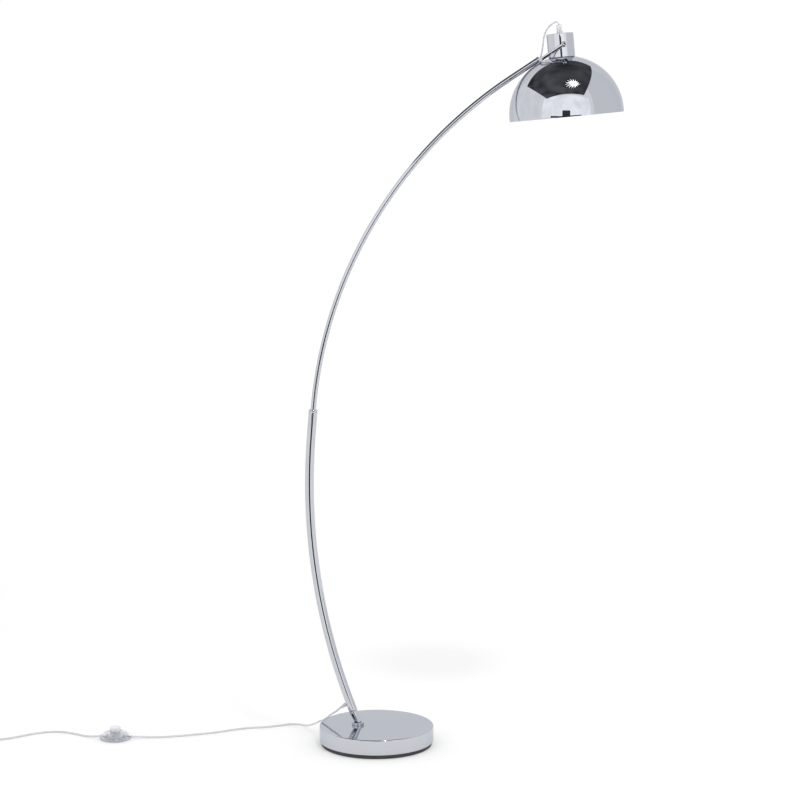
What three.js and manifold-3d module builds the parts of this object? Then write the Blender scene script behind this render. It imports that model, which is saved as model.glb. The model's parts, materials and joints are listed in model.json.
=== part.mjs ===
// Arc floor lamp: a round weighted base, a two-piece bent arm, a fork that carries a tilting dome
// shade, and a mains lead with a foot switch and a plug.
// Millimetres, +Z up. The origin is the centre of the base's bottom face, on the floor. The arm
// stands in the XZ plane and reaches towards +X, and the shade tilts about an axis along Y.
import * as THREE from "three";
import { mergeVertices } from "three/addons/utils/BufferGeometryUtils.js";
import Module from "manifold-3d";

// ---------- driving dimensions ----------
const GAP = 0.3; // between pieces that touch on the real lamp
const SHELL = 1.2; // wall of the arm tubes and the base cover

const BASE_RADIUS = 125;
const BASE_TOP = 42;
const BASE_EDGE = 3; // rounding of the cover's top edge
const PAD_RADIUS = 121;
const PAD_HEIGHT = 9;
const WEIGHT_HEIGHT = 22;

const FOOT_X = -40.8; // where the arm stands on the base
const FOOT_LEAN = 22.5; // degrees from upright, towards -X
const COLLAR_RADIUS = 13.3;
const COLLAR_HEIGHT = 6;
const FERRULE_LENGTH = 27;
const FERRULE_FOOT_RADIUS = 7.8;

const LOWER_TUBE_RADIUS = 9.5;
const LOWER_BEND_RADIUS = 1367;
const LOWER_BEND = 27.2; // degrees
const JOINT_STRAIGHT = 52;
const UPPER_TUBE_RADIUS = 6;
const UPPER_BEND_RADIUS = 945;
const UPPER_BEND = 51.9; // degrees
const END_STRAIGHT = 130; // from the end of the upper bend to beside the pivot

const FORK_LENGTH = 64; // from the end of the tube to the pivot
const FORK_DROP = 2.9; // the prongs run this far under the arm's own line
const FORK_THICKNESS = 3;
const FORK_WIDTH = 7.4;
const FORK_HALF_SPAN = 33.5; // outer faces of the prongs

const SHADE_TILT = 5.4; // degrees, the neck leans back towards the arm
const DOME_RADIUS = 121;
const DOME_WALL = 1;
const RIM_DROP = 6.5; // the rim lies this far under the dome's centre
const PIVOT_OFFSET = 6.2; // pivot from the neck's axis
const PIVOT_HEIGHT = 150.6; // above the rim
const NECK_RADIUS = 28.5;
const NECK_WALL = 1.5;
const NECK_TOP = 174.2; // above the rim

const CORD_RADIUS = 2;
const HEAD_CORD_RADIUS = 1.7;
const SWITCH_PLACE = [-579, 11, 0];
const SWITCH_RADIUS = 34.5;
const COIL_PLACE = [-884, 13.5, 0];
const COIL_INNER = 14.1;
const COIL_OUTER = 33.8;
const COIL_LIFT = 1; // the tie passes under the coil
const COIL_HEIGHT = 8.3;
const PLUG_PLACE = [-915.6, 78, 7];

// ---------- materials ----------
function finish(color, roughness, metalness, opacity = 1) {
  return new THREE.MeshStandardMaterial({ color, roughness, metalness, opacity, transparent: opacity < 1 });
}
const CHROME = finish(0xc8ccd2, 0.08, 1);
const STEEL = finish(0x9a9da2, 0.35, 1);
const IRON = finish(0x3a3b3d, 0.7, 0.6);
const RUBBER = finish(0x3d3e40, 0.8, 0);
const BRASS = finish(0xc9a24a, 0.3, 1);
const WHITE_PLASTIC = finish(0xe8e8e6, 0.4, 0);
const CLEAR_PLASTIC = finish(0xd9dce2, 0.15, 0, 0.5);
const CORD_PLASTIC = finish(0xd6d6d8, 0.35, 0, 0.9);
const GLASS = finish(0xf6f6f2, 0.2, 0, 0.8);

// ---------- solids ----------
const wasm = await Module();
wasm.setup();

const radians = THREE.MathUtils.degToRad;
const lamp = new THREE.Group();

function toSolid(geometry) {
  const bare = geometry.index ? geometry.toNonIndexed() : geometry.clone();
  bare.deleteAttribute("normal");
  bare.deleteAttribute("uv");
  const merged = mergeVertices(bare, 1e-4);
  return new wasm.Manifold(
    new wasm.Mesh({
      numProp: 3,
      vertProperties: merged.attributes.position.array,
      triVerts: new Uint32Array(merged.index.array),
    }),
  );
}

function toGeometry(solid) {
  const mesh = solid.getMesh();
  const geometry = new THREE.BufferGeometry();
  geometry.setAttribute("position", new THREE.BufferAttribute(mesh.vertProperties, 3));
  geometry.setIndex(new THREE.BufferAttribute(mesh.triVerts, 1));
  return geometry;
}

function cut(body, ...tools) {
  return toGeometry(tools.reduce((solid, tool) => solid.subtract(toSolid(tool)), toSolid(body)));
}

function join(...bodies) {
  return toGeometry(bodies.map(toSolid).reduce((all, solid) => all.add(solid)));
}

// A solid of revolution about Z from [radius, height] points: up the outside, then down the inside.
function turned(profile, segments = 20) {
  const points = profile.map(([radius, height]) => new THREE.Vector2(radius, height));
  return new THREE.LatheGeometry(points, segments).rotateX(Math.PI / 2);
}

function rod(radius, bottom, top, segments = 20) {
  return turned([[0, bottom], [radius, bottom], [radius, top], [0, top]], segments);
}

function ring(inner, outer, bottom, top, segments = 20) {
  const start = [inner, bottom];
  return turned([start, [outer, bottom], [outer, top], [inner, top], start], segments);
}

function box(width, depth, height, x = 0, y = 0, z = 0) {
  return new THREE.BoxGeometry(width, depth, height).translate(x, y, z);
}

// Points of an arc about [centre radius, centre height], from one angle to another in degrees.
function arc(radius, height, size, from, to, steps) {
  return Array.from({ length: steps + 1 }, (_, i) => {
    const angle = radians(from + ((to - from) * i) / steps);
    return [radius + size * Math.cos(angle), height + size * Math.sin(angle)];
  });
}

function polygon(radius, sides) {
  return arc(0, 0, radius, 0, 360 - 360 / sides, sides - 1).map(([x, y]) => new THREE.Vector2(x, y));
}

// A bar or tube of round section along a curve.
function swept(curve, radius, sides, steps, bore = 0) {
  const section = new THREE.Shape(polygon(radius, sides));
  if (bore) section.holes.push(new THREE.Path(polygon(bore, sides)));
  return new THREE.ExtrudeGeometry(section, { steps, extrudePath: curve, bevelEnabled: false });
}

function smooth(points) {
  const corners = points.map((point) => new THREE.Vector3(...point));
  return new THREE.CatmullRomCurve3(corners, false, "centripetal");
}

function add(group, name, geometry, material) {
  const mesh = new THREE.Mesh(geometry, material);
  mesh.name = name;
  group.add(mesh);
  return mesh;
}

function frameAt(x, y, z, heading = 0) {
  const group = new THREE.Group();
  group.position.set(x, y, z);
  group.rotation.y = heading;
  lamp.add(group);
  return group;
}

// ---------- the arm's line: a bend, a straight joint, a second bend and a straight end ----------
const COLLAR_TOP = BASE_TOP + GAP + COLLAR_HEIGHT;
const ARM_STRETCHES = [
  { length: LOWER_BEND_RADIUS * radians(LOWER_BEND), turn: radians(LOWER_BEND) },
  { length: JOINT_STRAIGHT, turn: 0 },
  { length: UPPER_BEND_RADIUS * radians(UPPER_BEND), turn: radians(UPPER_BEND) },
  { length: END_STRAIGHT, turn: 0 },
];
const ARM_LENGTH = ARM_STRETCHES.reduce((sum, stretch) => sum + stretch.length, 0);
const JOINT_END = ARM_STRETCHES[0].length + JOINT_STRAIGHT;
const TUBE_END = ARM_LENGTH - FORK_LENGTH;

// Where the arm's line is after a distance from the collar, and its heading from upright towards +X.
function armAt(distance) {
  const at = { x: FOOT_X, z: COLLAR_TOP, heading: -radians(FOOT_LEAN) };
  let left = distance;
  for (const { length, turn } of ARM_STRETCHES) {
    const step = Math.min(left, length);
    const swing = (turn * step) / length;
    const chord = swing ? ((2 * length) / turn) * Math.sin(swing / 2) : step;
    at.x += chord * Math.sin(at.heading + swing / 2);
    at.z += chord * Math.cos(at.heading + swing / 2);
    at.heading += swing;
    left -= step;
    if (left <= 0) break;
  }
  return at;
}

class ArmLine extends THREE.Curve {
  constructor(from, to) {
    super();
    this.from = from;
    this.to = to;
  }

  getPoint(t, target = new THREE.Vector3()) {
    const { x, z } = armAt(this.from + (this.to - this.from) * t);
    return target.set(x, 0, z);
  }
}

function armFrame(distance) {
  const { x, z, heading } = armAt(distance);
  return frameAt(x, 0, z, heading);
}

// ---------- base ----------
function buildBase() {
  const bolt = [FOOT_X, 0];
  const hole = (radius, bottom, top) => rod(radius, bottom, top).translate(...bolt, 0);
  add(lamp, "base_pad", cut(rod(PAD_RADIUS, 0, PAD_HEIGHT, 48), hole(17, -1, PAD_HEIGHT + 1)), RUBBER);

  const weightBottom = PAD_HEIGHT + GAP;
  const weightTop = weightBottom + WEIGHT_HEIGHT;
  const underCover = BASE_TOP - SHELL - GAP;
  const disc = rod(BASE_RADIUS - SHELL - GAP, weightBottom, weightTop, 48);
  const seat = rod(20, weightTop - 1, underCover).translate(...bolt, 0);
  add(lamp, "base_weight", cut(join(disc, seat), hole(4.5, 0, BASE_TOP)), IRON);

  const inner = BASE_RADIUS - SHELL;
  const cover = turned(
    [
      [0, BASE_TOP - SHELL],
      ...arc(inner - 2, BASE_TOP - SHELL - 2, 2, 90, 0, 3),
      [inner, PAD_HEIGHT],
      [BASE_RADIUS, PAD_HEIGHT],
      ...arc(BASE_RADIUS - BASE_EDGE, BASE_TOP - BASE_EDGE, BASE_EDGE, 0, 90, 5),
      [0, BASE_TOP],
    ],
    56,
  );
  add(lamp, "base_cover", cut(cover, hole(4.6, 0, BASE_TOP + 1)), CHROME);

  const foot = frameAt(FOOT_X, 0, 0);
  add(foot, "foot_washer", ring(4.6, 14, 7, PAD_HEIGHT), STEEL);
  const boltHead = new THREE.CylinderGeometry(7, 7, 5.4, 6).rotateX(Math.PI / 2).translate(0, 0, 4);
  add(foot, "foot_bolt", join(boltHead, rod(4, 4, COLLAR_TOP - 2.2)), STEEL);
  const collar = turned([
    [4.3, BASE_TOP + GAP],
    [COLLAR_RADIUS, BASE_TOP + GAP],
    ...arc(COLLAR_RADIUS - 0.8, COLLAR_TOP - 0.8, 0.8, 0, 90, 3),
    [0, COLLAR_TOP],
    [0, COLLAR_TOP - 1.5],
    [4.3, COLLAR_TOP - 1.5],
    [4.3, BASE_TOP + GAP],
  ]);
  add(foot, "foot_collar", collar, CHROME);
}

// ---------- arm ----------
function buildArm() {
  // The ferrule tapers from the lower tube down to the collar, and is cut level where it stands on it.
  const ferrule = turned([
    [0, -8],
    [FERRULE_FOOT_RADIUS, -8],
    [FERRULE_FOOT_RADIUS, 0],
    [LOWER_TUBE_RADIUS, FERRULE_LENGTH],
    [LOWER_TUBE_RADIUS - SHELL, FERRULE_LENGTH],
    [3.4, 12],
    [0, 12],
  ]);
  const foot = armAt(0);
  ferrule.rotateY(foot.heading).translate(foot.x, 0, foot.z);
  const under = box(80, 80, 40, FOOT_X, 0, COLLAR_TOP + GAP - 20);
  add(lamp, "foot_ferrule", cut(ferrule, under), CHROME);

  const lowerBore = LOWER_TUBE_RADIUS - SHELL;
  const lower = swept(new ArmLine(FERRULE_LENGTH + GAP, JOINT_END), LOWER_TUBE_RADIUS, 14, 18, lowerBore);
  const glandHole = rod(3.4, -6, 20, 12).applyMatrix4(glandMatrix());
  add(lamp, "lower_arm", cut(lower, glandHole), CHROME);

  const upperBore = UPPER_TUBE_RADIUS - SHELL;
  const upper = swept(new ArmLine(JOINT_END - 46, TUBE_END), UPPER_TUBE_RADIUS, 12, 26, upperBore);
  add(lamp, "upper_arm", upper, CHROME);

  // The bush centres the upper tube in the lower one and shows as a narrow lip.
  const bush = UPPER_TUBE_RADIUS + GAP;
  const joint = turned([
    [bush, -40],
    [lowerBore - GAP, -40],
    [lowerBore - GAP, GAP],
    [LOWER_TUBE_RADIUS + 0.2, GAP],
    [LOWER_TUBE_RADIUS + 0.2, 2.8],
    [LOWER_TUBE_RADIUS - 0.4, 3.4],
    [bush, 3.4],
    [bush, -40],
  ]);
  add(armFrame(JOINT_END), "joint_bush", joint, CHROME);

  const cord = new ArmLine(60, ARM_LENGTH - 70 - GAP);
  add(lamp, "arm_cord", swept(cord, HEAD_CORD_RADIUS, 8, 26), CORD_PLASTIC);
}

// ---------- fork at the end of the arm; its frame has +Z along the arm and +X under it ----------
function buildFork() {
  const end = armFrame(ARM_LENGTH);
  const crotch = -FORK_LENGTH + GAP;
  const inner = FORK_HALF_SPAN - FORK_THICKNESS;
  const corner = 12;
  const outline = new THREE.Shape();
  outline.moveTo(-FORK_HALF_SPAN, 0);
  outline.lineTo(-FORK_HALF_SPAN, crotch + corner);
  outline.absarc(-FORK_HALF_SPAN + corner, crotch + corner, corner, Math.PI, 1.5 * Math.PI);
  outline.lineTo(FORK_HALF_SPAN - corner, crotch);
  outline.absarc(FORK_HALF_SPAN - corner, crotch + corner, corner, 1.5 * Math.PI, 2 * Math.PI);
  outline.lineTo(FORK_HALF_SPAN, 0);
  outline.lineTo(inner, 0);
  outline.absarc(inner - corner + 3, crotch + corner, corner - 3, 0, -0.5 * Math.PI, true);
  outline.absarc(-inner + corner - 3, crotch + corner, corner - 3, 1.5 * Math.PI, Math.PI, true);
  outline.lineTo(-inner, 0);
  const settings = { depth: FORK_WIDTH, bevelEnabled: false, curveSegments: 6 };
  const bar = new THREE.ExtrudeGeometry(outline, settings);
  const along = new THREE.Vector3(0, 0, 1);
  const across = new THREE.Vector3(0, 1, 0);
  const under = new THREE.Vector3(1, 0, 0);
  bar.applyMatrix4(new THREE.Matrix4().makeBasis(across, along, under));
  bar.translate(FORK_DROP - FORK_WIDTH / 2, 0, 0);
  const eye = (side) =>
    rod(5.4, 0, FORK_THICKNESS)
      .rotateX(-side * (Math.PI / 2))
      .translate(FORK_DROP, side * inner, 0);
  const flange = rod(UPPER_TUBE_RADIUS + 0.5, crotch, crotch + FORK_THICKNESS);
  const pin = rod(2.3, -50, 50, 16).rotateX(Math.PI / 2).translate(FORK_DROP, 0, 0);
  const bushHole = rod(4.7, crotch - 5, crotch + 20);
  add(end, "shade_fork", cut(join(bar, eye(1), eye(-1), flange), pin, bushHole), CHROME);

  const plate = crotch + FORK_THICKNESS;
  const bush = turned([
    [2.5, -84],
    [4.4, -84],
    [4.4, plate + GAP],
    [6.4, plate + GAP],
    [6.4, plate + 1.8],
    [5.6, plate + 2.4],
    [2.5, plate + 2.4],
    [2.5, -84],
  ]);
  add(end, "arm_end_bush", bush, STEEL);

  // Screw, with its head outside the prong, and a washer between the prong and the neck.
  for (const [where, side] of [["front", -1], ["back", 1]]) {
    const pivot = new THREE.Group();
    pivot.position.set(FORK_DROP, 0, 0);
    pivot.rotation.x = -side * (Math.PI / 2);
    end.add(pivot);
    const seat = FORK_HALF_SPAN + GAP;
    const screw = turned([
      [0, 20.6],
      [2, 20.6],
      [2, seat],
      [5.8, seat],
      [5.8, seat + 1.8],
      ...arc(4.2, seat + 1.8, 1.6, 10, 90, 3),
      [2.2, seat + 3.4],
      [2.2, seat + 1.6],
      [0, seat + 1.6],
    ]);
    add(pivot, `pivot_screw_${where}`, screw, CHROME);
    add(pivot, `pivot_washer_${where}`, ring(2.3, 5, NECK_RADIUS + GAP, inner - GAP), STEEL);
  }
  return end;
}

// ---------- shade head; its frame stands on the rim's plane, with +Z up the neck ----------
function pivotPlace() {
  const { x, z, heading } = armAt(ARM_LENGTH);
  return [x + FORK_DROP * Math.cos(heading), z - FORK_DROP * Math.sin(heading)];
}

function headFrame() {
  const [x, z] = pivotPlace();
  const head = frameAt(x, 0, z, -radians(SHADE_TILT));
  const inside = new THREE.Group();
  inside.position.set(-PIVOT_OFFSET, 0, -PIVOT_HEIGHT);
  head.add(inside);
  return inside;
}

// Height above the rim of a sphere about the dome's centre, at a distance from the neck's axis.
function domeHeight(size, radius) {
  return RIM_DROP + Math.sqrt(size * size - radius * radius);
}

function buildShade(head) {
  const holeRadius = 20.6;
  const inside = DOME_RADIUS - DOME_WALL;
  const rimAngle = (size) => -THREE.MathUtils.radToDeg(Math.asin(RIM_DROP / size));
  const holeAngle = (size) => THREE.MathUtils.radToDeg(Math.acos(holeRadius / size));
  const outerArc = arc(0, RIM_DROP, DOME_RADIUS, rimAngle(DOME_RADIUS), holeAngle(DOME_RADIUS), 12);
  const innerArc = arc(0, RIM_DROP, inside, holeAngle(inside), rimAngle(inside), 12);
  add(head, "shade_dome", turned([...outerArc, ...innerArc, outerArc[0]], 48), CHROME);

  const neckBore = NECK_RADIUS - NECK_WALL;
  const neckBottom = domeHeight(DOME_RADIUS + GAP, neckBore) + 0.2;
  const neck = turned(
    [
      [neckBore, neckBottom],
      [NECK_RADIUS, neckBottom],
      ...arc(NECK_RADIUS - 0.8, NECK_TOP - 0.8, 0.8, 0, 90, 3),
      [4.4, NECK_TOP],
      [4.4, NECK_TOP - NECK_WALL],
      [neckBore, NECK_TOP - NECK_WALL],
      [neckBore, neckBottom],
    ],
    32,
  );
  const screwHole = rod(2.4, -40, 40, 16).rotateX(Math.PI / 2).translate(PIVOT_OFFSET, 0, PIVOT_HEIGHT);
  add(head, "shade_neck", cut(neck, screwHole), CHROME);
  for (const [where, side] of [["front", -1], ["back", 1]]) {
    const nut = ring(2.7, 4.4, 21.4, 24.4, 6).rotateX(-side * (Math.PI / 2));
    nut.translate(PIVOT_OFFSET, 0, PIVOT_HEIGHT);
    add(head, `pivot_nut_${where}`, nut, STEEL);
  }
}

function buildLampHolder(head) {
  const flangeBottom = domeHeight(DOME_RADIUS, 20.6) + GAP;
  const holder = turned([
    [4.4, 156],
    [4.4, 136],
    [14.3, 134],
    [14.3, 96],
    [17.2, 96],
    [17.2, 112],
    [19.8, 114],
    [19.8, flangeBottom],
    [24, flangeBottom],
    [24, flangeBottom + 2.5],
    [19, flangeBottom + 3.5],
    [18, 142],
    [9, 156],
    [4.4, 156],
  ], 28);
  add(head, "holder_body", holder, WHITE_PLASTIC);
  const ringTop = domeHeight(DOME_RADIUS - DOME_WALL, 26) - GAP;
  add(head, "holder_ring", ring(20.1, 26, ringTop - 7, ringTop, 28), WHITE_PLASTIC);
  add(head, "holder_shell", ring(13.3, 14, 100, 124), BRASS);
  add(head, "holder_contact", box(10, 4, 1.2, 0, 0, 131), BRASS);
  add(head, "holder_nipple", ring(2.7, 4, 152.5, 184, 16), STEEL);
  add(head, "holder_nut", ring(5, 8.5, 167.5, NECK_TOP - NECK_WALL - GAP, 6), STEEL);

  const cap = turned([
    [0, 100],
    [12.8, 100],
    [12.8, 122],
    [6, 126],
    [3, 130],
    [0, 130],
  ]);
  add(head, "bulb_cap", cap, STEEL);
  const bulbCentre = 65;
  const bulb = turned([...arc(0, bulbCentre, 22.5, -90, 50, 9), [11.5, 92], [11.5, 99.7], [0, 99.7]], 24);
  add(head, "bulb_glass", bulb, GLASS);

  const gripBottom = NECK_TOP + GAP;
  const grip = turned([
    [4.3, gripBottom],
    [6, gripBottom],
    [6, gripBottom + 17.4],
    [5.4, gripBottom + 18],
    [4.6, gripBottom + 18],
    [2.2, gripBottom + 11],
    [4.3, gripBottom + 10.4],
    [4.3, gripBottom],
  ]);
  const screwHeight = gripBottom + 3.5;
  const screwHole = rod(1.5, 0, 10, 12).rotateY(Math.PI / 2).translate(0, 0, screwHeight);
  add(head, "cord_grip", cut(grip, screwHole), CLEAR_PLASTIC);
  const gripScrew = rod(1.2, 4.4, 7, 12).rotateY(Math.PI / 2).translate(0, 0, screwHeight);
  add(head, "grip_screw", gripScrew, STEEL);
}

// The short lead between the arm's end and the grip, held at both ends.
function buildHeadCord() {
  const inTube = [ARM_LENGTH - 70, ARM_LENGTH - 64, ARM_LENGTH - 59.5]
    .map(armAt)
    .map(({ x, z }) => [x, 0, z]);
  const route = [
    ...inTube,
    [347.4, 0, 1490.4],
    [349.6, 0, 1498],
    [351.4, 0, 1509],
    [352.8, 0, 1521],
    [354.6, 0, 1533.5],
    [359, 0, 1545],
    [366.4, 0, 1554.6],
    [374.4, 0, 1561],
    [381, 0, 1562.8],
    [384.7, 0, 1559.4],
    [385.5, 0, 1555],
    [385.9, 0, 1551.6],
  ];
  add(lamp, "head_cord", swept(smooth(route), HEAD_CORD_RADIUS, 8, 28), CORD_PLASTIC);
}

// ---------- mains lead ----------
const GLAND_ROOT = [-66.2, 0, 88];
const GLAND_DIRECTION = [-0.76, 0.3, -0.575];
const GLAND_OUTSIDE = 16;

function glandMatrix() {
  const turn = new THREE.Quaternion().setFromUnitVectors(
    new THREE.Vector3(0, 0, 1),
    new THREE.Vector3(...GLAND_DIRECTION).normalize(),
  );
  return new THREE.Matrix4().compose(new THREE.Vector3(...GLAND_ROOT), turn, new THREE.Vector3(1, 1, 1));
}

function buildLead() {
  const gland = turned([
    [0, -5],
    [3, -5],
    [3, 2.6],
    [4.4, 3.2],
    [4.4, 4.6],
    [3.2, 5.4],
    [2.4, GLAND_OUTSIDE],
    [0, GLAND_OUTSIDE],
  ], 16);
  add(lamp, "cord_gland", gland.applyMatrix4(glandMatrix()), CLEAR_PLASTIC);

  const fromGland = (distance) => new THREE.Vector3(0, 0, distance).applyMatrix4(glandMatrix()).toArray();
  const toSwitch = [
    fromGland(GLAND_OUTSIDE + GAP),
    fromGland(GLAND_OUTSIDE + 4),
    [-90, 9.6, 68.6],
    [-100, 12.8, 61.2],
    [-110.5, 15, 52.4],
    [-118.5, 16.4, 46.6],
    [-125.5, 22, 42.8],
    [-131.5, 36, 36],
    [-139.6, 60, 26.4],
    [-149, 86, 16.4],
    [-158, 109, 8],
    [-167, 125, 3.3],
    [-176, 134, 2.1],
    [-187, 137.5, 2.1],
    [-204, 136.5, 2.1],
    [-221, 127, 2.1],
    [-240, 117.5, 2.1],
    [-265, 110, 2.1],
    [-293, 102.5, 2.1],
    [-326, 86.5, 2.1],
    [-359, 66, 2.1],
    [-393, 50, 2.1],
    [-427, 37, 2.1],
    [-452, 28, 2.1],
    [-477, 21.5, 2.1],
    [-501, 19, 2.3],
    [-522, 16.5, 3.2],
    [-533, 12.4, 4.6],
    [SWITCH_PLACE[0] + SWITCH_RADIUS + 7, 11, 5],
    [SWITCH_PLACE[0] + SWITCH_RADIUS + 3.4, 11, 5],
  ];
  add(lamp, "power_cord_near", swept(smooth(toSwitch), CORD_RADIUS, 8, 62), CORD_PLASTIC);

  const toCoil = [
    [SWITCH_PLACE[0] - SWITCH_RADIUS - 3.4, 11, 5],
    [SWITCH_PLACE[0] - SWITCH_RADIUS - 7, 11, 5],
    [-629, 13, 4],
    [-640, 18, 2.8],
    [-653, 25, 2.1],
    [-671, 36, 2.1],
    [-689, 46, 2.1],
    [-706, 52, 2.1],
    [-723, 53, 2.1],
    [-741, 48.5, 2.1],
    [-758, 40.5, 2.1],
    [-775, 29, 2.1],
    [-790, 15.5, 2.1],
    [-804, 3.5, 2.1],
    [-818, -6.5, 2.1],
    [-833, -13.4, 2.3],
    [-849, -17.2, 2.8],
    [-857, -18.2, 3],
    [COIL_PLACE[0] + 19, -18.4, 3.1],
  ];
  add(lamp, "power_cord_far", swept(smooth(toCoil), CORD_RADIUS, 8, 28), CORD_PLASTIC);

  const coil = frameAt(...COIL_PLACE);
  const wound = ring(COIL_INNER, COIL_OUTER, COIL_LIFT, COIL_LIFT + COIL_HEIGHT, 32);
  add(coil, "cord_coil", wound, CORD_PLASTIC);
  const band = new THREE.Shape();
  band.moveTo(12.9, 0.1);
  band.lineTo(34.9, 0.1);
  band.lineTo(34.9, COIL_LIFT + COIL_HEIGHT + 0.9);
  band.lineTo(12.9, COIL_LIFT + COIL_HEIGHT + 0.9);
  const window = new THREE.Path();
  window.moveTo(13.5, 0.7);
  window.lineTo(34.2, 0.7);
  window.lineTo(34.2, COIL_LIFT + COIL_HEIGHT + GAP);
  window.lineTo(13.5, COIL_LIFT + COIL_HEIGHT + GAP);
  band.holes.push(window);
  const tie = new THREE.ExtrudeGeometry(band, { depth: 5, bevelEnabled: false });
  tie.translate(0, 0, -2.5).rotateX(Math.PI / 2).rotateZ(radians(35));
  add(coil, "cord_tie", tie, WHITE_PLASTIC);

  const toPlug = [
    [PLUG_PLACE[0], COIL_PLACE[1] + 17.4, 6.9],
    [PLUG_PLACE[0], COIL_PLACE[1] + 24, 6.8],
    [PLUG_PLACE[0], PLUG_PLACE[1] - 38 - GAP, 7],
  ];
  add(lamp, "power_cord_tail", swept(smooth(toPlug), CORD_RADIUS, 8, 3), CORD_PLASTIC);
}

// Foot switch: a clear domed cover over a flat bottom plate, and a push button on a spring.
function buildSwitch() {
  const place = frameAt(...SWITCH_PLACE);
  const posts = [1, -1].map((side) => rod(2.4, -1, 20, 12).translate(0, side * 23, 0));
  add(place, "switch_base", cut(rod(SWITCH_RADIUS - 2, 0, 3, 32), ...posts), CLEAR_PLASTIC);

  const wall = 1.6;
  const outside = SWITCH_RADIUS;
  const cover = turned(
    [
      [outside - wall, 0.8],
      [outside, 0.8],
      [outside, 5],
      [31.5, 9.4],
      [26, 13.2],
      [19, 16.4],
      [12.6, 18.4],
      [11.6, 18.4],
      [11.6, 16.8],
      [18.4, 14.8],
      [25.2, 11.7],
      [30.3, 8.2],
      [outside - wall, 4.6],
      [outside - wall, 0.8],
    ],
    32,
  );
  const boss = (side) => {
    const lying = rod(3.4, outside - 1.2, outside + 3, 12).rotateY(side * (Math.PI / 2));
    return lying.translate(0, 0, 5);
  };
  add(place, "switch_cover", join(cover, boss(1), boss(-1)), CLEAR_PLASTIC);

  const button = turned([
    [9.6, 12],
    [11.2, 12],
    [11.2, 23.4],
    [12.2, 24],
    ...arc(11.2, 25.6, 1, 0, 70, 3),
    [0, 26.9],
    [0, 21.6],
    [9.6, 21.6],
    [9.6, 12],
  ]);
  add(place, "switch_button", button, CLEAR_PLASTIC);
  const core = turned([[0, 3.3], [8.6, 3.3], [8.6, 10.2], [2.6, 10.2], [2.6, 15], [0, 15]]);
  add(place, "switch_core", core, WHITE_PLASTIC);

  const turns = 5;
  const [springBottom, springTop] = [11, 21];
  const helix = Array.from({ length: turns * 8 + 1 }, (_, i) => {
    const angle = (i * Math.PI) / 4;
    const height = springBottom + ((springTop - springBottom) * i) / (turns * 8);
    return [4.6 * Math.cos(angle), 4.6 * Math.sin(angle), height];
  });
  add(place, "switch_spring", swept(smooth(helix), 0.4, 5, turns * 8), STEEL);

  for (const [where, side] of [["right", 1], ["left", -1]]) {
    add(place, `switch_terminal_${where}`, box(11, 7, 3.4, side * 19, 0, 5), STEEL);
    add(place, `terminal_screw_${where}`, rod(2, 7, 8.6, 12).translate(side * 19, 0, 0), STEEL);
  }
  for (const [where, side] of [["back", 1], ["front", -1]]) {
    add(place, `switch_screw_${where}`, rod(2, 0.4, 11, 12).translate(0, side * 23, 0), STEEL);
  }
}

// Flat two-pin plug, lying on its broad side, with its pins towards +Y.
function buildPlug() {
  const plug = frameAt(...PLUG_PLACE);
  const half = [17.5, 6.8];
  const outline = new THREE.Shape();
  outline.moveTo(-half[0], 18);
  outline.lineTo(-half[0], 2);
  outline.lineTo(-4.6, -18);
  outline.lineTo(4.6, -18);
  outline.lineTo(half[0], 2);
  outline.lineTo(half[0], 18);
  const body = new THREE.ExtrudeGeometry(outline, { depth: 2 * half[1], bevelEnabled: false });
  body.translate(0, 0, -half[1]);
  const relief = turned([[0, 0], [2.5, 0], [4, 21], [0, 21]], 16)
    .rotateX(-Math.PI / 2)
    .translate(0, -38, 0);
  const pinHoles = [-9.5, 9.5].map((x) => rod(2.3, 12, 20, 12).rotateX(-Math.PI / 2).translate(x, 0, 0));
  add(plug, "plug_body", cut(join(body, relief), ...pinHoles), WHITE_PLASTIC);
  for (const [where, x] of [["left", -9.5], ["right", 9.5]]) {
    const pin = turned([[0, 12.3], [2, 12.3], [2, 36], [1, 37], [0, 37]], 12);
    add(plug, `plug_pin_${where}`, pin.rotateX(-Math.PI / 2).translate(x, 0, 0), STEEL);
  }
}

buildBase();
buildArm();
buildFork();
const head = headFrame();
buildShade(head);
buildLampHolder(head);
buildHeadCord();
buildLead();
buildSwitch();
buildPlug();

export default lamp;
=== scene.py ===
"""Chrome arc floor lamp. Sizes are in millimetres, in the row frame: +Z up, the arm in the XZ plane."""

import json
import math

import bmesh
import bpy
from mathutils import Matrix, Vector

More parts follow.
